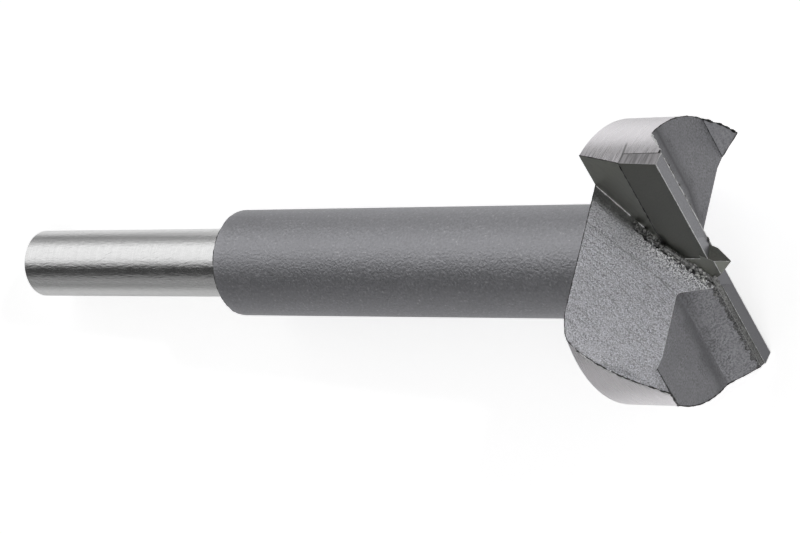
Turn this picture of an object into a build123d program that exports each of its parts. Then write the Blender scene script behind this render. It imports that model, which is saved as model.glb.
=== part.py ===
from build123d import *
import math
import os

# A carbide-tipped forstner bit with two wings, lying on its side as it comes to rest.
# The bit's axis is X, with the shank's rear face at X = 0 and the head towards +X. Z is up, and
# one chip flute faces straight up. Sizes are in millimetres.

# Shank and stem, turned in one piece with the head
shank_diameter = 10.0
shank_length = 40.0
shank_chamfer = 0.3
stem_diameter = 15.4
stem_length = 66.5
stem_rim_break = 0.2
stem_head_fillet = 0.6

# Head blank
head_diameter = 38.0
head_length = 12.6
head_rim_break = 0.15

# Roll of the cutter plate about the axis, measured from straight up
plate_roll = 40.0

# Cutter plate: one carbide slab across the whole head, with the centre point ground on it
plate_thickness = 2.0
plate_depth = 5.7
plate_rake = 3.7
relief_angle = 1.5
web_half_width = 1.55
point_height = 2.5
point_half_length = 1.75
point_half_width = 1.4
point_skew = 0.3
point_root_depth = 1.0
notch_edge_reach = 5.4
notch_heel_reach = 3.6
notch_relief_angle = 7.5

# Brazed joint round the plate
braze_gap = 0.15
braze_bead_radius = 0.55
braze_ledge_drop = 0.45
braze_ledge_width = 0.6
braze_ledge_cover = 0.3

# Steel side of the cutting wing behind the plate
steel_rake = 14.0

# Relief trough behind each plate: sloping side, flat bottom, heel side
trough_depth = 3.7
trough_plate_slope = 41.0
trough_heel_slope = 42.0
trough_bottom_end = 15.8
trough_corner_radius = 1.5

# Flute floor planes: tilt to the axis, turn from the plate, and how far inside the head's surface
# each one meets the plane of the cutting edges
floor_tilt = 50.8
floor_turn = 19.2
floor_inset = 22.15
lip_tilt = 40.7
lip_turn = 3.0
lip_inset = 24.79
heel_tilt = 25.0
heel_turn = 59.1
heel_inset = 6.6
heel_radius = 4.0

# How far a cutting tool runs past the surface that it leaves through, and how near a plane counts as in it
overcut = 1.0
edge_tolerance = 0.01

# Derived places
head_start = shank_length + stem_length
edge_plane = head_start + head_length
head_radius = head_diameter / 2
reach = 2 * head_diameter
half_plate = plate_thickness / 2
half_slot = half_plate + braze_gap
seam_lead = half_plate - plate_depth * math.tan(math.radians(plate_rake))
ledge_end = half_plate + braze_ledge_width


def cut_plane():
    """The plane of the cutting edges: its X runs along the plate, its Y leads the first wing."""
    roll = math.radians(plate_roll)
    along = (0, math.sin(roll), math.cos(roll))
    return Plane(origin=(edge_plane, 0, 0), x_dir=along, z_dir=(1, 0, 0))


def both_wings(tool):
    """A cutting tool and its twin, half a turn round the axis."""
    return [tool, tool.rotate(Axis.Z, 180)]


def corner(sketch, x, y):
    """The corner of a flat outline that lies at a place."""
    return sketch.vertices().sort_by_distance((x, y, 0))[0]


def prism_along_plate(points, start, end):
    """A prism along the plate from start to end, with its section given as (lead, forward)."""
    section = Plane.YZ.offset(start) * make_face(Polyline(*points, close=True))
    return extrude(section, amount=end - start)


def floor_plane(tilt, turn, inset):
    """A sloping floor plane that meets the cutting plane so far inside the head's surface."""
    outward = Vector(1, 0, 0).rotate(Axis.Z, turn)
    normal = outward * math.cos(math.radians(tilt)) + Vector(0, 0, math.sin(math.radians(tilt)))
    return Plane(origin=outward * (head_radius - inset), z_dir=normal)


def space_above(floor):
    """Everything in front of a floor plane, which is cut out of the head."""
    return extrude(floor * Rectangle(2 * reach, 2 * reach), amount=reach)


def lies_in(edge, plane):
    """Whether both ends of an edge are in a plane."""
    ends = [edge.position_at(share) for share in (0, 1)]
    return all(abs((end - plane.origin).dot(plane.z_dir)) < edge_tolerance for end in ends)


def shoulder(floor, heel):
    """What a flute leaves standing: the metal behind its floor and heel, rounded where they meet."""
    standing = extrude(floor * Rectangle(2 * reach, 2 * reach), amount=-reach) - space_above(heel)
    crest = [edge for edge in standing.edges() if lies_in(edge, floor) and lies_in(edge, heel)]
    return fillet(crest, heel_radius)


def flute():
    """Chip space in front of one wing, between its rake side, the flute floor and the lip."""
    rear = -head_length - overcut
    rear_lead = seam_lead + (rear + plate_depth) * math.tan(math.radians(steel_rake))
    points = [(rear_lead, rear), (seam_lead, -plate_depth), (half_plate, 0), (half_plate, reach),
              (reach, reach), (reach, rear)]
    side = prism_along_plate(points, -reach, reach)
    floor = floor_plane(floor_tilt, floor_turn, floor_inset)
    heel = floor_plane(heel_tilt, heel_turn, heel_inset)
    lip = floor_plane(lip_tilt, lip_turn, lip_inset)
    return (side & space_above(lip)) - shoulder(floor, heel)


def trough():
    """Relief trough milled behind the plate of the second wing, parallel to the plate."""
    slope = math.tan(math.radians(trough_plate_slope))
    heel = math.tan(math.radians(trough_heel_slope))
    bottom_start = ledge_end + (trough_depth - braze_ledge_drop) / slope
    heel_top = trough_bottom_end + (trough_depth + overcut) / heel
    outline = Polyline((half_plate, overcut), (half_plate, -braze_ledge_drop),
                       (ledge_end, -braze_ledge_drop), (bottom_start, -trough_depth),
                       (trough_bottom_end, -trough_depth), (heel_top, overcut), close=True)
    section = make_face(outline)
    section = fillet(corner(section, bottom_start, -trough_depth), trough_corner_radius)
    return extrude(Plane.YZ * section, amount=reach, both=True)


def plate_slot():
    """Slot milled across the head for the plate and its film of braze."""
    bottom = -plate_depth - braze_gap
    return Pos(0, 0, bottom) * extrude(Rectangle(reach, 2 * half_slot), amount=overcut - bottom)


def turned_blank():
    """Shank, stem and head disc, turned from one bar of steel."""
    shank_radius = shank_diameter / 2
    stem_radius = stem_diameter / 2
    outline = Polyline((0, 0), (0, shank_radius), (shank_length, shank_radius), (shank_length, stem_radius),
                       (head_start, stem_radius), (head_start, head_radius), (edge_plane, head_radius),
                       (edge_plane, 0), close=True)
    profile = make_face(outline)
    profile = chamfer(corner(profile, 0, shank_radius), shank_chamfer)
    profile = chamfer(corner(profile, shank_length, stem_radius), stem_rim_break)
    profile = fillet(corner(profile, head_start, stem_radius), stem_head_fillet)
    profile = chamfer(corner(profile, head_start, head_radius), head_rim_break)
    return revolve(profile, Axis.X)


def milled_blank():
    """The blank with flutes, heels and relief troughs, and no slot yet."""
    blank = turned_blank()
    heel = space_above(floor_plane(heel_tilt, heel_turn, heel_inset))
    for tool in both_wings(flute()) + both_wings(heel) + both_wings(trough()):
        blank = blank - cut_plane() * tool
    return blank


def centre_point():
    """Four-sided centre point, reaching down into the plate."""
    grow = (point_height + point_root_depth) / point_height
    wide = point_half_width * grow
    near = (point_half_length - point_skew) * grow
    far = (point_half_length + point_skew) * grow
    corners = [(near, wide), (-far, wide), (-near, -wide), (far, -wide)]
    base = Pos(0, 0, -point_root_depth) * make_face(Polyline(*corners, close=True))
    return loft([base, Vertex(0, 0, point_height)])


def plate_zone():
    """The round space of the head that the plate lies in."""
    return Pos(0, 0, -plate_depth) * extrude(Circle(head_radius), amount=plate_depth)


def relief_cut(angle):
    """Grinding cut that drops the plate's end face away behind the first wing's edge."""
    drop = plate_thickness * math.tan(math.radians(angle))
    outline = [(half_plate, 0), (half_plate, overcut), (-half_plate, overcut), (-half_plate, -drop)]
    return prism_along_plate(outline, 0, head_radius + overcut)


def notch_cut():
    """Steeper relief beside the centre point, with a slanting outer end."""
    corners = [(0, half_plate), (notch_edge_reach, half_plate), (notch_heel_reach, -half_plate),
               (0, -half_plate)]
    limit = extrude(make_face(Polyline(*corners, close=True)), amount=plate_depth, both=True)
    return relief_cut(notch_relief_angle) & limit


def rake_cut():
    """Grinding cut that lays the plate's side back below the first wing's edge."""
    outline = [(half_plate, 0), (seam_lead, -plate_depth), (half_plate, -plate_depth)]
    return prism_along_plate(outline, web_half_width, head_radius + overcut)


def front_cuts():
    """Every grinding cut on the front of the plate."""
    return both_wings(relief_cut(relief_angle)) + both_wings(notch_cut())


def cutter_plate():
    """Carbide slab with its ground rake, reliefs and centre point."""
    plate = plate_zone() & extrude(Rectangle(reach, plate_thickness), amount=reach, both=True)
    for tool in both_wings(rake_cut()) + front_cuts():
        plate = plate - tool
    core = extrude(Rectangle(2 * notch_heel_reach, plate_thickness), amount=reach, both=True)
    return plate + (centre_point() & core)


def ledge_bead():
    """Ragged band of braze on the ledge behind the second wing's plate."""
    outline = [(half_plate, -braze_ledge_drop), (ledge_end, -braze_ledge_drop),
               (half_plate, braze_ledge_cover - braze_ledge_drop)]
    return prism_along_plate(outline, -head_radius, -web_half_width)


def corner_bead():
    """Bead of braze along the corner between the first wing's plate and the flute floor."""
    floor = floor_plane(floor_tilt, floor_turn, floor_inset)
    ends = []
    for forward in (-plate_depth, -braze_ledge_drop):
        lead = Vector(0, half_plate, forward)
        along = (floor.origin - lead).dot(floor.z_dir) / floor.z_dir.X
        ends.append(Vector(along, half_plate, forward))
    run = ends[1] - ends[0]
    return extrude(Plane(origin=ends[0], z_dir=run) * Circle(braze_bead_radius), amount=run.length)


def braze_seam(blank, plate):
    """Film of braze that fills the slot round the plate, with its beads."""
    seam = blank & cut_plane() * plate_slot()
    for bead in both_wings(ledge_bead()) + both_wings(corner_bead()):
        seam = seam + cut_plane() * (bead & plate_zone())
    for cut in front_cuts():
        seam = seam - cut_plane() * cut
    return seam - plate - steel_body(blank)


def steel_body(blank):
    """The milled blank with the slot for the plate."""
    return blank - cut_plane() * plate_slot()


def main():
    os.makedirs("parts", exist_ok=True)
    blank = milled_blank()
    plate = cut_plane() * cutter_plate()
    export_step(steel_body(blank), "parts/steel_body.step")
    export_step(plate, "parts/cutter_plate.step")
    export_step(braze_seam(blank, plate), "parts/braze_seam.step")


main()
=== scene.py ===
import math
import bmesh
import bpy
from mathutils import Matrix, Vector


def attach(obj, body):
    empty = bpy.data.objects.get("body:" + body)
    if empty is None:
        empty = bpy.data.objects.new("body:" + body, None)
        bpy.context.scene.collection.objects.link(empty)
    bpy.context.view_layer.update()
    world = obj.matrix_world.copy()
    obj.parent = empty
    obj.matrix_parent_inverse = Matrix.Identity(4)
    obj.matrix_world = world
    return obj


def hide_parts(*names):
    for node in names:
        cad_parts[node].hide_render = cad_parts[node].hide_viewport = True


# A carbide-tipped forstner bit on a pale table. The bit's axis is X with the head towards +X,
# and one flute faces up. Lengths are in metres, and MM turns a workshop size into metres.

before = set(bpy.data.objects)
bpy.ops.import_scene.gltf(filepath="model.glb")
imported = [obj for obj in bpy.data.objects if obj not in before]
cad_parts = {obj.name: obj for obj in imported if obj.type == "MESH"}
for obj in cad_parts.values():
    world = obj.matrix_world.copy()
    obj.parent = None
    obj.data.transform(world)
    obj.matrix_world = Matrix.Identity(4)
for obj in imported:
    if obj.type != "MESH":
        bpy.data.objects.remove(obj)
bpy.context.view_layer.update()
MM = 0.001

# The head's own directions: along the cutter plate, the way the first wing leads, and forward
PLATE_ROLL = math.radians(40)
ALONG = Vector((0, math.sin(PLATE_ROLL), math.cos(PLATE_ROLL)))
LEAD = Vector((0, -math.cos(PLATE_ROLL), math.sin(PLATE_ROLL)))
FORWARD = Vector((1, 0, 0))

# Where the shank and the stem end, and the plane of the cutting edges and the radius of the head
SHANK_END = 40 * MM
STEM_END = 106.5 * MM
EDGE_PLANE = 119.1 * MM
HEAD_RADIUS = 19 * MM

# The cutter plate: half its thickness, the bottom of its slot, and how far out its web reaches
HALF_PLATE = 1.0 * MM
SLOT_BOTTOM = 113.2 * MM
WEB_REACH = 1.7 * MM

# The steel rake side below the plate: where it crosses the plate's middle plane, and its slope
RAKE_START = 110.9 * MM
STEEL_RAKE = math.radians(14)

# Faces that meet at less than this angle are shaded as one, and a face whose normal lies at least this
# much along the radius looks outward
CREASE = math.radians(18)
OUTWARD = 0.98


def head_vector(along, lead, forward):
    """A direction given in the head's own frame, as a unit vector along X, Y and Z."""
    return (ALONG * along + LEAD * lead + FORWARD * forward).normalized()


def head_point(along, lead, forward):
    """A place given in millimetres in the head's own frame, forward from the cutting plane."""
    return (ALONG * along + LEAD * lead + FORWARD * forward) * MM + FORWARD * EDGE_PLANE


def opposite(vector):
    """A place or a direction after half a turn round the bit's axis."""
    return Vector((vector.x, -vector.y, -vector.z))


def floor_normal(turn, tilt):
    """The way a milled floor faces, from its turn from the plate and its tilt to the axis."""
    turn, tilt = math.radians(turn), math.radians(tilt)
    return head_vector(math.cos(turn) * math.cos(tilt), math.sin(turn) * math.cos(tilt), math.sin(tilt))


# The ways that the tool marks and the scratches of the flute run, and the tool marks of the trough
FLUTE_MARKS = head_vector(-0.80, 0.07, 0.60)
SCRATCH_RUN = head_vector(-0.77, 0.25, 0.58)
TROUGH_MARKS = head_vector(1, 0, 0)

# A long score on the flute floor beside the braze: the way across it, and how far along that way it lies
SCORE_ACROSS = head_vector(-0.055, 0.974, -0.219)
SCORE_PLACE = -20.22 * MM

# How far forward the dark smear crosses the land at the cutting edge
LAND_SMEAR = 113.7 * MM

# Kinds of sockets
NUMBER = "NodeSocketFloat"
ARROW = "NodeSocketVector"
WHOLE = "NodeSocketInt"
FINISH = "NodeSocketMaterial"
SHAPE = "NodeSocketGeometry"

# Faint tints of the steel, the polished land, the rake faces and carbide, and bright braze
STEEL_BLUE = (0.985, 0.985, 1.04)
LAND_TINT = (1.01, 0.98, 1.01)
RAKE_TINT = (1.0, 1.02, 0.925)
BRAZE_TINT = (1.0, 1.0, 0.97)


class Graph:
    """A node tree with short ways to add nodes and feed their sockets."""

    def __init__(self, tree):
        self.tree = tree

    def add(self, kind, feeds=None, **settings):
        """Adds a node, sets its properties, and feeds its sockets with values or other sockets."""
        made = self.tree.nodes.new(kind)
        for name, value in settings.items():
            setattr(made, name, value)
        for name, value in (feeds or {}).items():
            self.feed(made.inputs[name], value)
        return made

    def first(self, kind, feeds, **settings):
        """The first output of a new node."""
        return self.add(kind, feeds, **settings).outputs[0]

    def feed(self, socket, value):
        if isinstance(value, bpy.types.NodeSocket):
            self.tree.links.new(value, socket)
        else:
            socket.default_value = value

    def maths(self, operation, *values):
        return self.first("ShaderNodeMath", dict(enumerate(values)), operation=operation)

    def vectors(self, operation, *values):
        made = self.add("ShaderNodeVectorMath", dict(enumerate(values)), operation=operation)
        return made.outputs["Value" if operation in ("DOT_PRODUCT", "DISTANCE", "LENGTH") else "Vector"]

    def scaled(self, vector, by):
        return self.first("ShaderNodeVectorMath", {"Vector": vector, "Scale": by}, operation="SCALE")

    def remap(self, value, low, high, start=0.0, end=1.0):
        """Turns the range low to high into start to end, and holds it there."""
        return self.first("ShaderNodeMapRange", {"Value": value, "From Min": low, "From Max": high,
                                                 "To Min": start, "To Max": end})

    def ramp(self, distance, low, high, start=0.0, end=1.0):
        """The same for a distance in metres, with its range in millimetres."""
        return self.remap(distance, low * MM, high * MM, start, end)

    def colour(self, share, first, second):
        """Mixes two colours by a mask."""
        made = self.add("ShaderNodeMix", data_type="RGBA")
        for index, value in ((0, share), (6, first), (7, second)):
            self.feed(made.inputs[index], value)
        return made.outputs[2]

    def over(self, tone, colour, mask, share):
        """Lays a colour over a tone where a mask shows, by a share at most."""
        return self.colour(self.product(mask, share), tone, colour)

    def product(self, first, *others):
        for other in others:
            first = self.maths("MULTIPLY", first, other)
        return first

    def gap(self, value, middle):
        """How far a value is from a middle, either way."""
        return self.maths("ABSOLUTE", self.maths("SUBTRACT", value, middle))

    def wavering(self, value, noise, swing):
        """Lets a distance swing to and fro with a noise."""
        return self.maths("MULTIPLY_ADD", self.maths("SUBTRACT", noise, 0.5), swing, value)

    def place(self):
        return self.add("ShaderNodeTexCoord").outputs["Object"]

    def reach(self, direction):
        """How far a spot lies along a direction, in metres."""
        return self.vectors("DOT_PRODUCT", self.place(), direction)

    def effect(self, name, **feeds):
        """Places a shared effect, with its own values. An underscore stands for a space in their names."""
        made = self.add("ShaderNodeGroup", node_tree=bpy.data.node_groups[name])
        for socket, value in feeds.items():
            self.feed(made.inputs[socket.replace("_", " ")], value)
        return made.outputs


def new_effect(name, inputs, *outputs):
    """Starts a shared effect group and returns its graph, its inputs and its output node."""
    tree = bpy.data.node_groups.new(name, "ShaderNodeTree")
    for socket, (kind, value) in inputs.items():
        made = tree.interface.new_socket(socket, in_out="INPUT", socket_type=kind)
        made.default_value = value
    for socket in outputs:
        tree.interface.new_socket(socket, in_out="OUTPUT", socket_type=NUMBER)
    graph = Graph(tree)
    return graph, graph.add("NodeGroupInput").outputs, graph.add("NodeGroupOutput").inputs


def spread(graph, noise, contrast):
    """Widens a noise round its middle and holds it between 0 and 1."""
    centred = graph.maths("SUBTRACT", noise, 0.5)
    wide = graph.maths("MULTIPLY_ADD", centred, graph.product(contrast, 3.0), 0.5)
    return graph.first("ShaderNodeClamp", {"Value": wide})


def build_grain():
    """Even grain, as on blasted, milled or sintered metal. Size is in metres."""
    graph, given, out = new_effect("grain", {"Size": (NUMBER, 0.3 * MM), "Contrast": (NUMBER, 1.0)},
                                   "Mask", "Height")
    scale = graph.maths("DIVIDE", 1.0, given["Size"])
    noise = graph.add("ShaderNodeTexNoise", {"Vector": graph.place(), "Scale": scale, "Detail": 3.0,
                                             "Roughness": 0.6}).outputs["Fac"]
    graph.feed(out["Mask"], spread(graph, noise, given["Contrast"]))
    graph.feed(out["Height"], noise)


def build_marks():
    """Lines left by a cutting tool: noise with one step along a direction and another across it."""
    graph, given, out = new_effect(
        "tool_marks", {"Direction": (ARROW, (1, 0, 0)), "Step along": (NUMBER, 10 * MM),
                       "Step across": (NUMBER, 0.2 * MM), "Contrast": (NUMBER, 1.0)}, "Mask", "Height")
    place = graph.place()
    across = graph.maths("DIVIDE", 1.0, given["Step across"])
    along = graph.maths("DIVIDE", 1.0, given["Step along"])
    reach = graph.vectors("DOT_PRODUCT", place, given["Direction"])
    shift = graph.product(reach, graph.maths("SUBTRACT", along, across))
    stretched = graph.vectors("ADD", graph.scaled(place, across), graph.scaled(given["Direction"], shift))
    noise = graph.add("ShaderNodeTexNoise", {"Vector": stretched, "Scale": 1.0, "Detail": 2.0,
                                             "Roughness": 0.55}).outputs["Fac"]
    graph.feed(out["Mask"], spread(graph, noise, given["Contrast"]))
    graph.feed(out["Height"], noise)


def build_scratches():
    """A few long thin scratches: the peaks of tool marks that are very long and very narrow."""
    graph, given, out = new_effect(
        "scratches", {"Direction": (ARROW, (1, 0, 0)), "Length": (NUMBER, 20 * MM),
                      "Width": (NUMBER, 0.2 * MM), "Rarity": (NUMBER, 0.7)}, "Mask")
    marks = graph.effect("tool_marks", Direction=given["Direction"], Step_along=given["Length"],
                         Step_across=given["Width"])["Height"]
    full = graph.maths("ADD", given["Rarity"], 0.05)
    graph.feed(out["Mask"], graph.remap(marks, given["Rarity"], full))


def build_plate_distance():
    """Where a spot lies, in metres: out along the plate, beside the plate's middle plane, behind its own
    wing's cutting edge, and ahead of the steel rake side below the plate."""
    graph, _, out = new_effect("plate_distance", {}, "Along", "Beside", "Behind", "Ahead")
    along = graph.reach(ALONG)
    lead = graph.reach(LEAD)
    leads = graph.product(lead, graph.maths("SIGN", along))
    wall = graph.product(graph.maths("SUBTRACT", graph.reach(FORWARD), RAKE_START), math.tan(STEEL_RAKE))
    graph.feed(out["Along"], graph.maths("ABSOLUTE", along))
    graph.feed(out["Beside"], graph.maths("ABSOLUTE", lead))
    graph.feed(out["Behind"], graph.maths("SUBTRACT", HALF_PLATE, leads))
    graph.feed(out["Ahead"], graph.maths("SUBTRACT", leads, wall))


def build_effects():
    build_grain()
    build_marks()
    build_scratches()
    build_plate_distance()


class Metal(Graph):
    """The graph of a new metal material."""

    def __init__(self, name):
        self.material = bpy.data.materials.new(name)
        self.material.use_nodes = True
        self.shader = self.material.node_tree.nodes["Principled BSDF"]
        self.shader.inputs["Metallic"].default_value = 1.0
        super().__init__(self.material.node_tree)

    def grain(self, size, contrast):
        """Even grain of a size in millimetres."""
        return self.effect("grain", Size=size * MM, Contrast=contrast)

    def tool_marks(self, direction, along, across, contrast):
        """Lines left by a cutting tool, with their steps along and across in millimetres."""
        return self.effect("tool_marks", Direction=direction, Step_along=along * MM, Step_across=across * MM,
                           Contrast=contrast)

    def scratches(self, direction, length, width, rarity):
        """A mask of long thin scratches, with their length and width in millimetres."""
        return self.effect("scratches", Direction=direction, Length=length * MM, Width=width * MM,
                           Rarity=rarity)["Mask"]

    def finish(self, tone, mask, smooth, rough, height=None, bump=0):
        """Feeds the colour, the roughness between two values by a mask, and the normal from a height with
        a bump in millimetres per unit. Returns the material."""
        self.feed(self.shader.inputs["Base Color"], tone)
        self.feed(self.shader.inputs["Roughness"], self.remap(mask, 0, 1, smooth, rough))
        if height is not None:
            made = self.add("ShaderNodeBump", {"Height": height, "Distance": bump * MM})
            self.feed(self.shader.inputs["Normal"], made.outputs["Normal"])
        return self.material


def grey(value, tint=(1, 1, 1)):
    return (value * tint[0], value * tint[1], value * tint[2], 1)


def polished_shank():
    """Ground round and polished, with faint smudges and scratches."""
    graph = Metal("polished_shank")
    rings = graph.tool_marks(FORWARD, 0.12, 9, 1.0)
    smudges = graph.tool_marks(FORWARD, 1.1, 0.3, 2.0)
    cloud = graph.grain(1.1, 0.8)
    scratched = graph.scratches(head_vector(0.2, -0.3, 0.9), 5, 0.16, 0.66)
    tone = graph.colour(rings["Mask"], grey(0.79), grey(0.835))
    tone = graph.over(tone, grey(0.5), smudges["Mask"], 0.08)
    tone = graph.over(tone, grey(0.5), scratched, 0.5)
    height = graph.maths("MULTIPLY_ADD", rings["Height"], 0.05, smudges["Height"])
    return graph.finish(tone, cloud["Mask"], 0.15, 0.25, height, 0.03)


def blasted_stem():
    """Blasted matt, with light specks and a lighter band at its rear rim."""
    graph = Metal("blasted_stem")
    fine = graph.grain(0.36, 1.3)
    cloud = graph.grain(5, 0.9)
    tone = graph.colour(fine["Mask"], grey(0.365, STEEL_BLUE), grey(0.49, STEEL_BLUE))
    tone = graph.over(tone, grey(0.40, STEEL_BLUE), cloud["Mask"], 0.4)
    tone = graph.colour(graph.remap(fine["Height"], 0.64, 0.7, 0, 0.5), tone, grey(0.8))
    rim = graph.remap(graph.reach(FORWARD), SHANK_END + 0.3 * MM, SHANK_END + 1.6 * MM, 0.5, 0)
    tone = graph.colour(rim, tone, grey(0.49, STEEL_BLUE))
    return graph.finish(tone, fine["Mask"], 0.42, 0.5, fine["Height"], 0.12)


def ground_land():
    """The head's round outside: ground bright, with grinding streaks near each cutting edge that carry
    painted shade there, and one smear.
    """
    graph = Metal("ground_land")
    rings = graph.tool_marks(FORWARD, 0.14, 5, 1.2)
    streaks = graph.tool_marks(FORWARD, 0.4, 7, 2.2)
    behind = graph.effect("plate_distance")["Behind"]
    # Grinding streaks near the cutting edge, darkened there with painted shade for the darker reflection by
    # the edge
    near = graph.product(graph.ramp(behind, 1.0, 4.0, 0.62, 0), streaks["Mask"], graph.ramp(behind, -3, -2))
    off = graph.gap(graph.maths("MULTIPLY_ADD", behind, 0.2, graph.reach(FORWARD)), LAND_SMEAR)
    smear = graph.product(graph.ramp(off, 0.08, 0.22, 0.7, 0), graph.ramp(behind, 3.8, 4.6, 1, 0))
    tone = graph.colour(rings["Mask"], grey(0.855, LAND_TINT), grey(0.905, LAND_TINT))
    tone = graph.colour(near, tone, grey(0.42, LAND_TINT))
    tone = graph.colour(smear, tone, grey(0.2))
    return graph.finish(tone, rings["Mask"], 0.24, 0.36, rings["Height"], 0.004)


def milled_flute():
    """Flute floor: bright grain and cutter lines, with scratches and one score. It has a painted shadow of
    the wing along the foot of the rake side, and is spattered with braze beside the plate."""
    graph = Metal("milled_flute")
    fine = graph.grain(0.19, 2.6)
    patches = graph.grain(0.9, 1.0)
    lines = graph.tool_marks(FLUTE_MARKS, 1.6, 0.2, 2.6)
    scratched = graph.scratches(SCRATCH_RUN, 30, 0.2, 0.62)
    distance = graph.effect("plate_distance")
    ahead = distance["Ahead"]
    forward = graph.reach(FORWARD)

    # Painted shadow of the wing: a dark band along the foot of the rake side, ragged near it and soft
    # farther out. It fades where the spattered braze begins.
    uneven = graph.wavering(ahead, patches["Height"], 1.8 * MM)
    foot = graph.maths("MAXIMUM", graph.ramp(uneven, 1.0, 1.8, 0.8, 0), graph.ramp(ahead, 2.0, 6.5, 0.42, 0))
    foot = graph.product(foot, graph.ramp(ahead, -0.6, -0.3), graph.ramp(forward, 110.5, 113.0, 1, 0))
    spatter = graph.product(graph.ramp(distance["Beside"], 1.8, 4.2, 1, 0), graph.ramp(forward, 109.5, 113))
    off_score = graph.gap(graph.reach(SCORE_ACROSS), SCORE_PLACE)

    tone = graph.colour(fine["Mask"], grey(0.30, STEEL_BLUE), grey(0.75, STEEL_BLUE))
    tone = graph.over(tone, grey(0.66, STEEL_BLUE), lines["Mask"], 0.55)
    tone = graph.colour(graph.remap(fine["Height"], 0.58, 0.68, 0, 0.6), tone, grey(1.0, STEEL_BLUE))
    tone = graph.over(tone, grey(0.2), scratched, 0.6)
    tone = graph.colour(graph.ramp(off_score, 0.04, 0.12, 0.5, 0), tone, grey(0.2))
    tone = graph.over(tone, grey(0.98), spatter, graph.remap(fine["Mask"], 0.5, 0.75))
    tone = graph.over(tone, grey(0.08), spatter, graph.remap(fine["Mask"], 0.08, 0.0))
    # The painted shadow of the wing along the rake side's foot
    tone = graph.colour(foot, tone, grey(0.18))
    height = graph.maths("MULTIPLY_ADD", lines["Height"], 0.5, fine["Height"])
    return graph.finish(tone, fine["Mask"], 0.38, 0.5, height, 0.055)


def milled_trough(name, low, high):
    """One side of the relief trough, milled between two greys. It has painted shade down in the valley, and
    is scorched up to a ragged line where the braze ran along the plate."""
    graph = Metal(name)
    middle = (low + high) / 2
    fine = graph.grain(0.28, 1.8)
    cloud = graph.grain(2.2, 1.4)
    lines = graph.tool_marks(TROUGH_MARKS, 3, 0.5, 1.2)
    uneven = graph.grain(0.7, 1.0)["Height"]
    crust = graph.grain(0.24, 2.4)["Mask"]
    beside = graph.effect("plate_distance")["Beside"]
    along = graph.reach(ALONG)

    # Painted shade down in the valley, broad and ragged, with a thin dark line of painted shade on the first
    # wing. The valley lies a little farther from the plate where it is far from the centre.
    valley = graph.maths("MAXIMUM", graph.maths("MULTIPLY_ADD", along, -0.1, 5.1 * MM),
                         graph.ramp(along, 0.5, 6.5, 5.0 * MM, 6.6 * MM))
    off = graph.gap(beside, valley)
    wide = graph.wavering(off, cloud["Height"], 5 * MM)
    valley_shade = graph.maths("ADD", graph.ramp(wide, 0.5, 2.1, 0.46, 0), graph.ramp(off, 0.1, 0.8, 0.12, 0))
    line = graph.product(graph.ramp(off, 0.08, 0.35, 0.34, 0), graph.ramp(along, -2, 3))

    # The scorched band beside the plate, black at its ragged limit
    run = graph.wavering(beside, uneven, 1.8 * MM)
    limit = graph.ramp(graph.gap(run, 1.85 * MM), 0, 0.3, 0.7, 0)
    scorched = graph.colour(limit, graph.colour(crust, grey(0.08), grey(0.3)), grey(0.05))

    tone = graph.colour(fine["Mask"], grey(low, STEEL_BLUE), grey(high, STEEL_BLUE))
    tone = graph.over(tone, grey(middle * 0.9, STEEL_BLUE), cloud["Mask"], 0.5)
    tone = graph.over(tone, grey(middle * 1.2, STEEL_BLUE), lines["Mask"], 0.35)
    # The painted shade in the valley and its thin dark line
    tone = graph.colour(graph.maths("ADD", valley_shade, line), tone, grey(0.11, STEEL_BLUE))
    tone = graph.colour(graph.ramp(run, 1.95, 2.1, 0.9, 0), tone, scorched)
    return graph.finish(tone, fine["Mask"], 0.4, 0.52, fine["Height"], 0.07)


def ground_rake():
    """The steel rake side, ground dark with fine lines."""
    graph = Metal("ground_rake")
    lines = graph.tool_marks(FLUTE_MARKS, 4, 0.15, 0.8)
    tone = graph.colour(lines["Mask"], grey(0.27, RAKE_TINT), grey(0.34, RAKE_TINT))
    return graph.finish(tone, lines["Mask"], 0.38, 0.46, lines["Height"], 0.006)


def carbide(name, low, high, tint, roughness, second_wing_share=0.0):
    """One finish of the carbide plate: fine sintered grain between two greys, and darker by a share on the
    second wing."""
    graph = Metal(name)
    fine = graph.grain(0.2, 0.9)
    cloud = graph.grain(1.6, 0.8)
    tone = graph.colour(fine["Mask"], grey(low, tint), grey(high, tint))
    tone = graph.over(tone, grey((low + high) / 2, tint), cloud["Mask"], 0.5)
    # Darker towards and on the second wing
    second_wing_darkening = graph.ramp(graph.reach(ALONG), -1.5, 0, second_wing_share, 0)
    tone = graph.colour(second_wing_darkening, tone, grey(low * 0.4, tint))
    return graph.finish(tone, fine["Mask"], roughness - 0.04, roughness + 0.04, fine["Height"], 0.005)


def rim_carbide():
    """The plate's round outer end, ground in dark and light streaks."""
    graph = Metal("rim_carbide")
    streaks = graph.tool_marks(FORWARD, 0.3, 4, 1.8)
    tone = graph.colour(streaks["Mask"], grey(0.34, LAND_TINT), grey(0.56, LAND_TINT))
    return graph.finish(tone, streaks["Mask"], 0.36, 0.46, streaks["Height"], 0.004)


def braze(name, low, high, scorched=0.0):
    """Braze that ran and froze rough, between two greys, and blackened by a share out along the plate."""
    graph = Metal(name)
    fine = graph.grain(0.26, 1.8)
    cloud = graph.grain(1.3, 1.4)
    tone = graph.colour(fine["Mask"], grey(low), grey(high, BRAZE_TINT))
    tone = graph.over(tone, grey(low * 1.3), cloud["Mask"], 0.5)
    burnt = graph.ramp(graph.effect("plate_distance")["Along"], 5, 9, 0, scorched)
    tone = graph.colour(burnt, tone, grey(0.04))
    return graph.finish(tone, fine["Mask"], 0.3, 0.6, fine["Height"], 0.12)


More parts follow.
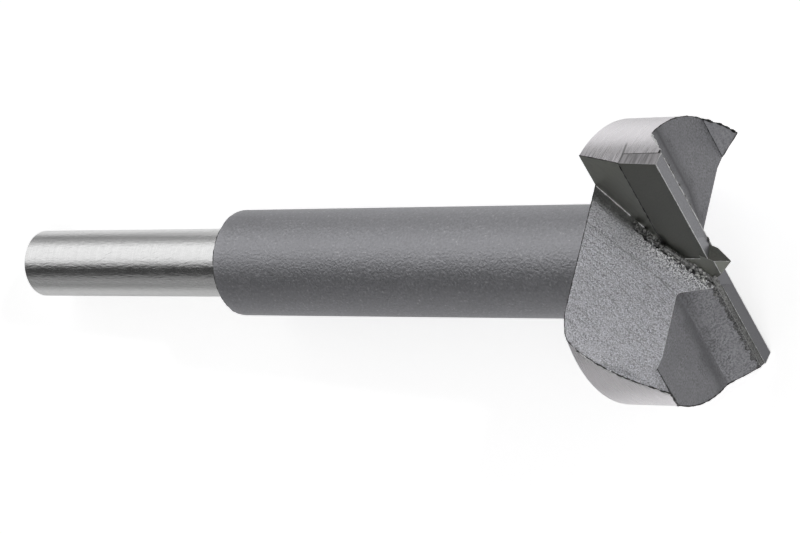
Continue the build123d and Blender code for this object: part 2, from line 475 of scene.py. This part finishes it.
def edge_metal(name, low, high, patch=0.5):
    """Metal at an edge, between a dark and a light grey in patches of a size in millimetres."""
    graph = Metal(name)
    patches = graph.grain(patch, 1.4)["Mask"]
    return graph.finish(graph.colour(patches, grey(low), grey(high)), patches, 0.35, 0.55)


def clean_copy(node):
    """A copy of a CAD node's mesh with its triangles joined into whole faces again."""
    mesh = bmesh.new()
    mesh.from_mesh(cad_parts[node].data)
    bmesh.ops.remove_doubles(mesh, verts=mesh.verts, dist=0.001 * MM)
    bmesh.ops.dissolve_limit(mesh, angle_limit=math.radians(0.5), verts=mesh.verts, edges=mesh.edges)
    data = bpy.data.meshes.new(node)
    mesh.to_mesh(data)
    mesh.free()
    return data


def whole_node(node, zone_of, sheltered):
    """A CAD node's mesh in whole faces, each with the index of its finish. The outer corners are marked
    for an edge break, apart from those of sheltered faces."""
    data = clean_copy(node)
    sides = {}
    for face in data.polygons:
        face.material_index = zone_of(face)
        face.use_smooth = True
        for key in face.edge_keys:
            sides.setdefault(key, []).append(face)
    weights = data.attributes.new("bevel_weight_edge", "FLOAT", "EDGE")
    for edge in data.edges:
        first, second = sides[edge.key]
        sharp = first.normal.angle(second.normal) > CREASE
        outer = (second.center - first.center).dot(first.normal) < 0
        if sharp and outer and not (sheltered(first) or sheltered(second)):
            weights.data[edge.index].value = 1
    return data


def finished(name, data, kind, settings):
    """Makes a piece of the mesh with a modifier applied, and lets it ride with the bit."""
    piece = bpy.data.objects.new(name, data)
    bpy.context.scene.collection.objects.link(piece)
    made = piece.modifiers.new("finish", kind)
    # A recipe's inputs are the modifier's own keys, and all else is a property
    for key, value in settings.items():
        if key in dir(made):
            setattr(made, key, value)
        else:
            made[key] = value
    bpy.context.view_layer.update()
    shown = piece.evaluated_get(bpy.context.evaluated_depsgraph_get())
    piece.data = bpy.data.meshes.new_from_object(shown)
    piece.modifiers.clear()
    piece.data.name = name
    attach(piece, "root")
    return piece


def radius_at(place):
    """The vector from the bit's axis straight out to a place."""
    return Vector((0, place.y, place.z))


def true_normal(face, place, turned):
    """The normal of the real surface at a corner: along the radius on turned faces, else the face's own."""
    radial = radius_at(place).normalized()
    if face.material_index in turned and face.normal.dot(radial) > OUTWARD:
        return radial
    return face.normal


def set_normals(data, breaks, turned):
    """Shades flat faces flat, turned faces round, and the edge breaks from one face over to the next."""
    around = {}
    for face in data.polygons:
        if face.material_index != breaks:
            for vertex in face.vertices:
                around.setdefault(vertex, []).append(true_normal(face, data.vertices[vertex].co, turned))
    normals = []
    for face in data.polygons:
        limit = 0.5 if face.material_index == breaks else math.cos(CREASE)
        for vertex in face.vertices:
            near = [other for other in around.get(vertex, []) if other.dot(face.normal) > limit]
            normals.append(sum(near, Vector()).normalized() if near else face.normal)
    data.normals_split_custom_set(normals)


def dressed(name, node, data, finishes, edge_width, turned):
    """A piece that stands for a CAD node, with fine edge breaks. The last finish is for the breaks."""
    for finish in finishes:
        data.materials.append(finish)
    last = len(finishes) - 1
    piece = finished(name, data, "BEVEL", {"width": edge_width, "segments": 2,
                                                 "limit_method": "WEIGHT", "material": last})
    set_normals(piece.data, last, turned)
    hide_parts(node)


STEEL_ZONES = ("shank", "stem", "land", "flute", "slope", "bottom", "heel side", "rake", "slot")
PLATE_ZONES = ("lapped", "web", "ground", "notch", "rim", "point")

# Which way each milled face of the first wing looks, by its turn and tilt, and whether it lies ahead of
# the plate (1) or behind it (-1). The second wing's look the same way after half a turn.
HEAD_FACES = [
    ("flute", 1, floor_normal(19.2, 50.8)),
    ("flute", 1, floor_normal(3.0, 40.7)),
    ("flute", 1, floor_normal(59.1, 25.0)),
    ("rake", 1, floor_normal(90, -14)),
    ("slope", -1, floor_normal(-90, 49)),
    ("bottom", -1, floor_normal(0, 90)),
    ("heel side", -1, floor_normal(90, 48)),
]

# The way that counts as ahead of the plate, turned a little towards the first wing
AHEAD = head_vector(0.2, 1, 0)


def is_rim(face):
    """Whether a face lies on the head's round outside."""
    radial = radius_at(face.center)
    return radial.length > HEAD_RADIUS - 0.3 * MM and face.normal.dot(radial.normalized()) > OUTWARD


def head_zone(face):
    """The name of the milled face that a face of the head belongs to, by the way it looks."""
    ahead = face.center.dot(AHEAD)
    twin = opposite(face.normal)
    best = max(HEAD_FACES, key=lambda entry: entry[2].dot(face.normal if ahead * entry[1] > 0 else twin))
    return best[0]


def steel_zone(face):
    """The finish of one face of the steel body, as an index into STEEL_ZONES. The shoulders behind the
    stem and behind the head are finished like the stem."""
    if face.center.x < SHANK_END - 0.01 * MM:
        zone = "shank"
    elif face.center.x < STEM_END + 0.12 * MM:
        zone = "stem"
    elif is_rim(face):
        zone = "land"
    elif abs(face.center.dot(LEAD)) < HALF_PLATE + 0.2 * MM and face.center.x > SLOT_BOTTOM:
        zone = "slot"
    else:
        zone = head_zone(face)
    return STEEL_ZONES.index(zone)


def in_slot(face):
    """Whether a face of the steel body lies in the plate's slot."""
    return face.material_index == STEEL_ZONES.index("slot")


def stays_sharp(face):
    """Whether a face of the plate keeps its corners: the underside, the notch's step and slivers."""
    return face.normal.dot(FORWARD) < -0.5 or is_step(face) or face.area < 0.1 * MM * MM


def is_step(face):
    """Whether a face of the plate is the small slanting step at the end of the notch."""
    return 0.5 < abs(face.normal.dot(LEAD)) < 0.75 and abs(face.normal.dot(FORWARD)) < 0.1


def plate_zone(face):
    """The finish of one face of the carbide plate, as an index into PLATE_ZONES. The ground relief looks
    almost straight forward, and the steeper notch a little less."""
    ahead = face.normal.dot(FORWARD)
    if is_rim(face):
        zone = "rim"
    elif is_step(face):
        zone = "notch"
    elif face.center.x > EDGE_PLANE:
        zone = "point" if abs(face.normal.dot(ALONG)) > 0.6 else "web"
    elif ahead > 0.9:
        zone = "ground" if ahead > 0.995 else "notch"
    else:
        zone = "web" if abs(face.normal.dot(LEAD)) > 0.999 else "lapped"
    return PLATE_ZONES.index(zone)


def edges_between(data, zones, *pairs, where=lambda place: True):
    """The edges where faces of two named finishes meet, as a mesh of their own, apart from those whose
    middle the rule leaves out."""
    finishes = {}
    for face in data.polygons:
        for key in face.edge_keys:
            finishes.setdefault(key, []).append(face.material_index)
    wanted = {frozenset(zones.index(name) for name in pair) for pair in pairs}
    points = [vertex.co for vertex in data.vertices]
    keys = [(first, second) for (first, second), found in finishes.items()
            if frozenset(found) in wanted and where((points[first] + points[second]) / 2)]
    return path_mesh(points, keys)


def on_cutting_side(place):
    """Whether a place on a wing's front is nearer to the cutting edge than to the heel."""
    return place.dot(LEAD) * place.dot(ALONG) > 0


def path_mesh(points, keys):
    """A mesh of bare edges, for a Geometry Nodes recipe to follow."""
    used = sorted({index for key in keys for index in key})
    place = {index: count for count, index in enumerate(used)}
    made = bpy.data.meshes.new("path")
    made.from_pydata([points[index] for index in used], [(place[a], place[b]) for a, b in keys], [])
    return made


def chains_mesh(*chains):
    """Paths through lists of points, as one mesh of bare edges."""
    points, keys = [], []
    for chain in chains:
        keys += [(len(points) + step, len(points) + step + 1) for step in range(len(chain) - 1)]
        points += chain
    return path_mesh(points, keys)


def half_turned(chain):
    """The twin of a path on the other wing."""
    return [opposite(point) for point in chain]


def on_both_wings(*chains):
    """Paths along the first wing and their twins after half a turn, as one mesh of bare edges."""
    return chains_mesh(*(wing for chain in chains for wing in (chain, half_turned(chain))))


def new_recipe(name, inputs):
    """Starts a Geometry Nodes tree and returns its graph, its inputs and its output socket."""
    tree = bpy.data.node_groups.new(name, "GeometryNodeTree")
    tree.interface.new_socket("Path", in_out="INPUT", socket_type=SHAPE)
    for socket, (kind, value) in inputs.items():
        made = tree.interface.new_socket(socket, in_out="INPUT", socket_type=kind)
        if value is not None:
            made.default_value = value
    tree.interface.new_socket("Shape", in_out="OUTPUT", socket_type=SHAPE)
    graph = Graph(tree)
    return graph, graph.add("NodeGroupInput").outputs, graph.add("NodeGroupOutput").inputs[0]


def by_recipe(name, path, slot, recipe, **inputs):
    """Adds a piece that a Geometry Nodes recipe makes along a path, with the recipe's inputs set."""
    tree = bpy.data.node_groups[recipe]
    sockets = {item.name: item.identifier for item in tree.interface.items_tree if item.in_out == "INPUT"}
    settings = {sockets[key]: value for key, value in inputs.items()}
    finished(name, path, "NODES", {"node_group": tree, **settings})


def evenly_spaced(graph, given):
    """The path as a curve with a point at every step of its spacing."""
    curve = graph.first("GeometryNodeMeshToCurve", {"Mesh": given["Path"]})
    return graph.first("GeometryNodeResampleCurve", {"Curve": curve, "Length": given["Spacing"]},
                       mode="LENGTH")


def moved(graph, curve, direction, by):
    """The curve with each point moved along its own direction."""
    return graph.first("GeometryNodeSetPosition", {"Geometry": curve, "Offset": graph.scaled(direction, by)})


def finish_shape(graph, out, shape, finish):
    """Shades a shape smooth, makes it real and gives it its material."""
    shape = graph.first("GeometryNodeSetShadeSmooth", {"Geometry": shape})
    shape = graph.first("GeometryNodeRealizeInstances", {"Geometry": shape})
    graph.feed(out, graph.first("GeometryNodeSetMaterial", {"Geometry": shape, "Material": finish}))


def ragged(graph, step, seed):
    """A noise for points along a path, one colour for each, that changes over a step in metres."""
    return graph.add("ShaderNodeTexNoise", {
        "Vector": graph.add("GeometryNodeInputPosition").outputs[0], "W": seed,
        "Scale": graph.maths("DIVIDE", 1.0, step), "Detail": 2.0}, noise_dimensions="4D").outputs


def build_burr():
    """A ragged thread of metal along a path, such as a burr or the bright line of a worn corner."""
    graph, given, out = new_recipe("burr", {
        "Spacing": (NUMBER, 0.15 * MM), "Thickness": (NUMBER, 0.06 * MM), "Wander": (NUMBER, 0.05 * MM),
        "Ragged": (NUMBER, 0.5), "Seed": (NUMBER, 1.0), "Finish": (FINISH, None)})
    swing = graph.vectors("SUBTRACT", ragged(graph, 0.5 * MM, given["Seed"])["Color"], (0.5, 0.5, 0.5))
    curve = moved(graph, evenly_spaced(graph, given), swing, graph.product(given["Wander"], 3.0))
    shift = graph.maths("ADD", given["Seed"], 7.0)
    swell = spread(graph, ragged(graph, 0.8 * MM, shift)["Fac"], 1.6)
    low = graph.maths("SUBTRACT", 1.0, given["Ragged"])
    size = graph.product(given["Thickness"], graph.remap(swell, 0, 1, low, 1.25))
    circle = graph.first("GeometryNodeCurvePrimitiveCircle", {"Resolution": 5, "Radius": 1.0})
    tube = graph.first("GeometryNodeCurveToMesh", {"Curve": curve, "Profile Curve": circle, "Scale": size,
                                                   "Fill Caps": True})
    finish_shape(graph, out, tube, given["Finish"])


def build_lumps():
    """Solidified braze along a path: lumps of random size, run together into one rough bead."""
    graph, given, out = new_recipe("lumps", {
        "Spacing": (NUMBER, 0.2 * MM), "Lump": (NUMBER, 0.3 * MM), "Scatter": (NUMBER, 0.2 * MM),
        "Melt": (NUMBER, 0.07 * MM), "Seed": (WHOLE, 1), "Finish": (FINISH, None)})
    shift = graph.first("FunctionNodeRandomValue", {0: (-1, -1, -1), 1: (1, 1, 1), "Seed": given["Seed"]},
                        data_type="FLOAT_VECTOR")
    curve = moved(graph, evenly_spaced(graph, given), shift, given["Scatter"])
    ball = graph.first("GeometryNodeMeshIcoSphere", {"Radius": 1.0, "Subdivisions": 2})
    own_seed = graph.maths("ADD", given["Seed"], 5.0)
    sizes = graph.add("FunctionNodeRandomValue", {2: 0.35, 3: 1.0, "Seed": own_seed},
                      data_type="FLOAT").outputs[1]
    lumps = graph.first("GeometryNodeInstanceOnPoints", {"Points": curve, "Instance": ball,
                                                         "Scale": graph.product(sizes, given["Lump"])})
    lumps = graph.first("GeometryNodeRealizeInstances", {"Geometry": lumps})
    band = graph.product(given["Melt"], 4.0)
    solid = graph.first("GeometryNodeMeshToVolume", {"Mesh": lumps, "Voxel Size": given["Melt"],
                                                     "Interior Band Width": band},
                        resolution_mode="VOXEL_SIZE")
    skin = graph.first("GeometryNodeVolumeToMesh", {"Volume": solid, "Threshold": 0.3})
    finish_shape(graph, out, skin, given["Finish"])


# Lines on the first wing, in the head's own frame: the braze bead beside the plate, the run of braze on
# from it, their outer edge on the flute floor, and the two stretches of the rake side's foot
BRAZE_BEAD = [head_point(-2.1, 1.45, -1.3), head_point(3.7, 1.2, -5.8)]
BRAZE_RUN = [head_point(3.7, 1.2, -5.8), head_point(7.9, 0.45, -8.75)]
BEAD_EDGE = [head_point(-2.5, 1.75, -1.1), head_point(4.7, 1.55, -6.62), head_point(7.2, 1.1, -8.4)]
RAKE_FOOT = [head_point(13.3, -1.02, -12.5), head_point(8.56, -0.17, -9.07)]
RAKE_FOOT_END = [head_point(7.45, 0.03, -8.27), head_point(6.6, 0.18, -7.67)]

# Lines on the second wing: the ledge behind the plate, and where its braze ran on to the centre
PLATE_LEDGE = [head_point(-17.6, 1.6, -0.95), head_point(-5.8, 1.6, -0.95)]
LEDGE_ENDS = [[head_point(-5.8, 1.6, -0.95), head_point(-2.6, 1.6, -0.95)],
              [head_point(-5.6, 2.0, -1.15), head_point(-2.4, 1.95, -1.25)]]

# Lines of bright worn edge: down the web beside the centre point, and across the point's foot
WEB_EDGE = [head_point(1.55, 1.0, -5.2), head_point(1.55, 1.0, -1.1)]
POINT_FOOT = [head_point(-1.2, 1.0, 0.71), head_point(1.04, 1.0, 0.71)]

# The rear rim of the stem: how far forward it lies, and its radius
STEM_RIM = (SHANK_END + 0.13 * MM, 7.64 * MM)

# From here out along the second wing, the plate's heel shows a worn edge
WORN_HEEL = -7 * MM

# Each thread of burr or worn edge: its slot and finish, its thickness and wander in millimetres, how
# ragged it is, and its seed. The dark threads are partly burrs and partly painted shade along edges and
# in the milled corners.
THREADS = {
    "rim_burrs": ("tool_steel", "burr_and_edge_shade", 0.1, 0.1, 0.65, 3.0),
    "heel_burrs": ("tool_steel", "burr_and_edge_shade", 0.16, 0.1, 0.75, 6.0),
    "rim_fringes": ("tool_steel", "bright_edge", 0.15, 0.16, 0.9, 21.0),
    "rim_lines": ("tool_steel", "burr_and_edge_shade", 0.09, 0.03, 0.5, 4.0),
    "slope_burrs": ("tool_steel", "burr_and_edge_shade", 0.09, 0.05, 0.5, 24.0),
    "slope_fringes": ("tool_steel", "bright_edge", 0.16, 0.12, 0.8, 23.0),
    "stem_rim_burr": ("tool_steel", "burr_and_edge_shade", 0.08, 0.02, 0.6, 31.0),
    "milled_corners": ("tool_steel", "burr_and_edge_shade", 0.06, 0.02, 0.4, 5.0),
    "rake_feet": ("tool_steel", "bright_edge", 0.1, 0.01, 0.25, 8.0),
    "plate_seams": ("braze", "seam_line", 0.085, 0.03, 0.8, 9.0),
    "bead_edges": ("braze", "burr_and_edge_shade", 0.15, 0.2, 0.9, 15.0),
    "cutting_edges": ("carbide", "bright_edge", 0.07, 0.005, 0.3, 11.0),
    "heel_edges": ("carbide", "bright_edge", 0.08, 0.03, 0.95, 12.0),
    "ledge_edges": ("carbide", "worn_edge", 0.05, 0.03, 0.95, 32.0),
    "web_edges": ("carbide", "bright_edge", 0.085, 0.01, 0.5, 13.0),
    "end_edges": ("carbide", "bright_edge", 0.07, 0.01, 0.5, 14.0),
}

# Each rough bead of braze: its finish, the spacing, size and scatter of its lumps in millimetres, and
# its seed
BEADS = {
    "braze_bead": ("light_braze", 0.1, 0.46, 0.52, 2),
    "braze_run": ("dark_braze", 0.16, 0.5, 0.45, 4),
    "braze_ledge": ("ledge_braze", 0.1, 0.42, 0.26, 6),
}


def rim_path(forward, radius):
    """A circle round the bit's axis, as a mesh of bare edges."""
    steps = 90
    turns = [math.tau * step / steps for step in range(steps)]
    points = [Vector((forward, radius * math.cos(turn), radius * math.sin(turn))) for turn in turns]
    return path_mesh(points, [(step, (step + 1) % steps) for step in range(steps)])


def steel_paths(steel):
    """Where the threads on the steel body run, by the names of their pieces."""
    def edges(*pairs, **rule):
        return edges_between(steel, STEEL_ZONES, *pairs, **rule)

    fringes = edges(("flute", "land"), where=lambda place: place.x > STEM_END + 1.2 * MM)
    fringes.transform(Matrix.Translation(FORWARD * -0.3 * MM))
    return {
        "rim_burrs": edges(("flute", "land"), where=lambda place: place.x > STEM_END + 0.4 * MM),
        "heel_burrs": edges(("heel side", "land")),
        "rim_fringes": fringes,
        "rim_lines": edges(("bottom", "land")),
        "slope_burrs": edges(("slope", "land"), where=lambda place: place.dot(ALONG) < 0),
        "slope_fringes": edges(("slope", "land"), where=lambda place: place.dot(ALONG) > 0),
        "stem_rim_burr": rim_path(*STEM_RIM),
        "milled_corners": edges(("flute", "heel side"), ("flute", "stem"), ("rake", "land"),
                                ("bottom", "heel side")),
        "rake_feet": on_both_wings(RAKE_FOOT, RAKE_FOOT_END),
        "plate_seams": edges(("rake", "slot")),
        "bead_edges": on_both_wings(BEAD_EDGE),
    }


def plate_paths(cutter):
    """Where the threads on the cutter plate run, by the names of their pieces."""
    def corners(where):
        pairs = [(side, top) for side in ("lapped", "web") for top in ("ground", "notch")]
        return edges_between(cutter, PLATE_ZONES, *pairs, where=where)

    return {
        "cutting_edges": corners(lambda place: on_cutting_side(place) and abs(place.dot(ALONG)) > WEB_REACH),
        "heel_edges": corners(lambda place: not on_cutting_side(place) and place.dot(ALONG) > WEB_REACH),
        "ledge_edges": corners(lambda place: not on_cutting_side(place) and place.dot(ALONG) < WORN_HEEL),
        "web_edges": on_both_wings(WEB_EDGE, POINT_FOOT),
        "end_edges": edges_between(cutter, PLATE_ZONES, ("ground", "rim")),
    }


def add_threads(paths):
    """The burrs, partly painted edge shade, and the lines of worn edge, each a ragged thread along its path.
    """
    for name, (slot, finish, thickness, wander, raggedness, seed) in THREADS.items():
        by_recipe(name, paths[name], slot, "burr", Thickness=thickness * MM, Wander=wander * MM,
                  Ragged=raggedness, Seed=seed, Finish=bpy.data.materials[finish])


def add_braze():
    """The rough beads of braze, and the finish of the seam round the plate."""
    paths = {"braze_bead": on_both_wings(BRAZE_BEAD), "braze_run": on_both_wings(BRAZE_RUN),
             "braze_ledge": chains_mesh(PLATE_LEDGE, half_turned(PLATE_LEDGE), *LEDGE_ENDS)}
    for name, (finish, spacing, lump, scatter, seed) in BEADS.items():
        by_recipe(name, paths[name], "braze", "lumps", Spacing=spacing * MM, Lump=lump * MM,
                  Scatter=scatter * MM, Seed=seed, Finish=bpy.data.materials[finish])
    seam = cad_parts["braze_seam"]
    seam.data.materials.clear()
    seam.data.materials.append(bpy.data.materials["ledge_braze"])


def build_shared_metals():
    """The materials that several pieces share, found again by their names."""
    edge_metal("worn_edge", 0.45, 0.85)
    edge_metal("bright_edge", 0.7, 0.95)
    # Dark threads: partly burrs, partly painted shade along edges and in corners
    edge_metal("burr_and_edge_shade", 0.02, 0.12)
    edge_metal("seam_line", 0.025, 0.15, 2.5)
    braze("light_braze", 0.32, 0.98)
    braze("dark_braze", 0.11, 0.5)
    braze("ledge_braze", 0.14, 0.46, 0.3)


def build_bit():
    """Every piece of the bit. The finishes of each dressed body stand in the order of its zones."""
    build_shared_metals()
    build_burr()
    build_lumps()
    steel = whole_node("steel_body", steel_zone, in_slot)
    cutter = whole_node("cutter_plate", plate_zone, stays_sharp)
    add_threads({**steel_paths(steel), **plate_paths(cutter)})
    add_braze()

    worn = bpy.data.materials["worn_edge"]
    turned = [STEEL_ZONES.index(name) for name in ("shank", "stem", "land")]
    dressed("bit_steel", "steel_body", steel,
            [polished_shank(), blasted_stem(), ground_land(), milled_flute(),
             milled_trough("trough_slope", 0.18, 0.48), milled_trough("trough_bottom", 0.145, 0.32),
             milled_trough("heel_side", 0.24, 0.44), ground_rake(), bpy.data.materials["dark_braze"], worn],
            0.07 * MM, turned)
    dressed("carbide_plate", "cutter_plate", cutter,
            [carbide("lapped_carbide", 0.17, 0.21, RAKE_TINT, 0.4),
             # The web's carbide is a lighter grey, painted light for the bounce light that the web lacks
             carbide("web_carbide_painted_light", 0.36, 0.42, RAKE_TINT, 0.4),
             carbide("ground_carbide", 0.215, 0.305, STEEL_BLUE, 0.38, 0.5),
             carbide("notch_carbide", 0.28, 0.35, STEEL_BLUE, 0.38, 0.5), rim_carbide(),
             # The point's carbide is a darker grey, a painted reflection of the dark surroundings its upper
             # face mirrors
             carbide("point_carbide_painted_dark", 0.11, 0.15, RAKE_TINT, 0.35), worn],
            0.05 * MM, [PLATE_ZONES.index("rim")])


# The plane that the bit comes to rest on: three touching points of its own hull
REST_POINT = Vector((106.5, 7.957, -16.035)) * MM
REST_UP = Vector((0.09629, 0.08829, 0.99143))


def seen_light(graph, place, pale):
    """How brightly the table shows to the eye: a little less where it is pale, and more far away."""
    far = graph.ramp(graph.vectors("DISTANCE", place, (0, 0, 0)), 220, 450, 0, 0.6)
    return graph.maths("ADD", far, graph.remap(pale, 0, 1, 0.74, 0.68))


def mirrored_light(graph, place, parts):
    """How brightly the steel mirrors the table: a strip along the bit, wider and brighter under the
    head, and a pool out beside the stem."""
    away = graph.vectors("LENGTH", graph.vectors("CROSS_PRODUCT", place, FORWARD))
    edge = graph.ramp(parts["X"], 70, 100, 12 * MM, 26 * MM)
    glow = graph.maths("MULTIPLY_ADD", graph.ramp(parts["X"], 40, 60, 0.22, 0),
                       graph.ramp(parts["Y"], 3, 10), graph.ramp(parts["X"], 70, 100, 0.265, 0.42))
    strip = graph.product(graph.ramp(graph.maths("SUBTRACT", away, edge), 0, 22, 1, 0), glow)
    off_pool = graph.vectors("DISTANCE", place, Vector((55, 85, -20)) * MM)
    return graph.maths("MAXIMUM", strip, graph.ramp(off_pool, 45, 95, 0.43, 0))


def pale_table():
    """A pale matt material with light of its own, and open to a view from below."""
    made = bpy.data.materials.new("pale_table")
    made.use_nodes = True
    graph = Graph(made.node_tree)
    shader = made.node_tree.nodes["Principled BSDF"]
    place = graph.place()
    parts = graph.add("ShaderNodeSeparateXYZ", {0: place}).outputs
    path = graph.add("ShaderNodeLightPath").outputs
    pale = graph.ramp(parts["X"], -60, 50)
    graph.feed(shader.inputs["Base Color"], graph.colour(pale, grey(0.6), grey(0.82)))
    shader.inputs["Roughness"].default_value = 0.9
    shader.inputs["Specular IOR Level"].default_value = 0.0
    shader.inputs["Emission Color"].default_value = grey(1)
    seen = graph.product(path["Is Camera Ray"], seen_light(graph, place, pale))
    mirrored = graph.product(path["Is Glossy Ray"], mirrored_light(graph, place, parts))
    graph.feed(shader.inputs["Emission Strength"], graph.maths("ADD", seen, mirrored))
    below = graph.product(path["Is Camera Ray"], graph.add("ShaderNodeNewGeometry").outputs["Backfacing"])
    clear = graph.add("ShaderNodeBsdfTransparent").outputs[0]
    mixed = graph.first("ShaderNodeMixShader", {0: below, 1: shader.outputs[0], 2: clear})
    graph.feed(made.node_tree.nodes["Material Output"].inputs["Surface"], mixed)
    return made


def add_floor():
    """A pale table top that the bit rests on."""
    half = 900 * MM
    turn = Vector((0, 0, 1)).rotation_difference(REST_UP).to_matrix()
    corners = [REST_POINT - REST_UP * 0.02 * MM + turn @ Vector((x, y, 0))
               for x, y in ((-half, -half), (half, -half), (half, half), (-half, half))]
    data = bpy.data.meshes.new("table_top")
    data.from_pydata(corners, [], [(0, 1, 2, 3)])
    data.materials.append(pale_table())
    table = bpy.data.objects.new("table_top", data)
    bpy.context.scene.collection.objects.link(table)


# Brightness of the studio round the bit's axis, by the angle from straight up, positive to +Y
STUDIO = [(-180, 0.46), (-110, 0.41), (-92, 0.37), (-85, 0.36), (-77, 0.33), (-69, 0.30), (-60, 0.27),
          (-53, 0.20), (-46, 0.10), (-38, 0.055), (-24, 0.045), (-17, 0.07), (-11, 0.30), (-4, 0.54),
          (4, 0.80), (16, 0.97), (45, 1.0), (56, 1.0), (62, 0.84), (69, 0.68), (77, 0.44), (84, 0.36),
          (92, 0.44), (180, 0.44)]

# The same for what lies in front of the head, which only its milled faces see
FRONT = [(-180, 0.40), (-70, 0.42), (-55, 0.10), (-40, 0.03), (90, 0.03), (180, 0.3)]

# Where the lamps look, and how far off they hang
HEAD_MIDDLE = Vector((112, 0, 0)) * MM
LAMP_DISTANCE = 0.7

# The photograph's view, solved from the bit's own corners
CAMERA_PLACE = Vector((318.19, -18.67, 336.18)) * MM
CAMERA_TARGET = Vector((68.03, -0.685, 0)) * MM
CAMERA_UP = Vector((0.00146, 0.99863, 0.05234))
CAMERA_LENS = 134.36


def light_round(graph, turn, lights):
    """The brightness at a turn round the axis, from a list of degrees and brightness. All stops are put
    in place before they get their colours, because a stop that moves can change order with another."""
    ramp = graph.add("ShaderNodeValToRGB", {0: turn})
    stops = ramp.color_ramp.elements
    while len(stops) < len(lights):
        stops.new(0.5)
    for stop, (degrees, _) in zip(stops, lights):
        stop.position = (degrees + 180) / 360
    for stop, (_, light) in zip(stops, lights):
        stop.color = grey(light)
    return ramp.outputs[0]


def add_world():
    """A studio with a long softbox on the +Y side behind the head, a dark gap overhead and a dim front."""
    world = bpy.data.worlds.new("studio")
    world.use_nodes = True
    graph = Graph(world.node_tree)
    background = world.node_tree.nodes["Background"]
    sky = graph.add("ShaderNodeTexCoord").outputs["Generated"]
    parts = graph.add("ShaderNodeSeparateXYZ", {0: sky}).outputs
    turn = graph.remap(graph.maths("ARCTAN2", parts["Y"], parts["Z"]), -math.pi, math.pi)
    behind = graph.remap(parts["X"], -0.3, 0.05, 1, 0)
    light = graph.colour(behind, light_round(graph, turn, FRONT), light_round(graph, turn, STUDIO))
    seen = graph.add("ShaderNodeLightPath").outputs["Is Camera Ray"]
    graph.feed(background.inputs["Color"], graph.colour(seen, light, grey(1)))
    bpy.context.scene.world = world


def aimed(obj, place, target, up=Vector((0, 0, 1))):
    """Puts an object at a place, with its -Z towards the target and its Y as near up as it goes."""
    back = (place - target).normalized()
    right = up.cross(back).normalized()
    rows = Matrix((right, back.cross(right), back)).transposed()
    obj.matrix_world = Matrix.Translation(place) @ rows.to_4x4()
    bpy.context.scene.collection.objects.link(obj)
    return obj


def add_lamp(name, direction, size, energy):
    """A square soft lamp that looks at the head from a direction."""
    lamp = bpy.data.lights.new(name, "AREA")
    lamp.size = size
    lamp.energy = energy
    place = HEAD_MIDDLE + direction.normalized() * LAMP_DISTANCE
    aimed(bpy.data.objects.new(name, lamp), place, HEAD_MIDDLE)


def add_lamps():
    """A small key in front of the head, so that each wing shades its flute, and a soft fill from above."""
    add_lamp("key", Vector((0.70, 0.49, 0.54)), 0.06, 0.85)
    add_lamp("fill", Vector((0.42, -0.30, 0.82)), 0.45, 1.0)


def add_camera():
    """A camera at the photograph's view."""
    lens = bpy.data.cameras.new("camera")
    lens.sensor_width = 36
    lens.lens = CAMERA_LENS
    lens.clip_start = 10 * MM
    camera = aimed(bpy.data.objects.new("camera", lens), CAMERA_PLACE, CAMERA_TARGET, CAMERA_UP)
    bpy.context.scene.camera = camera


build_effects()
build_bit()
add_floor()
add_world()
add_lamps()
add_camera()

bpy.context.scene.view_settings.view_transform = "Standard"
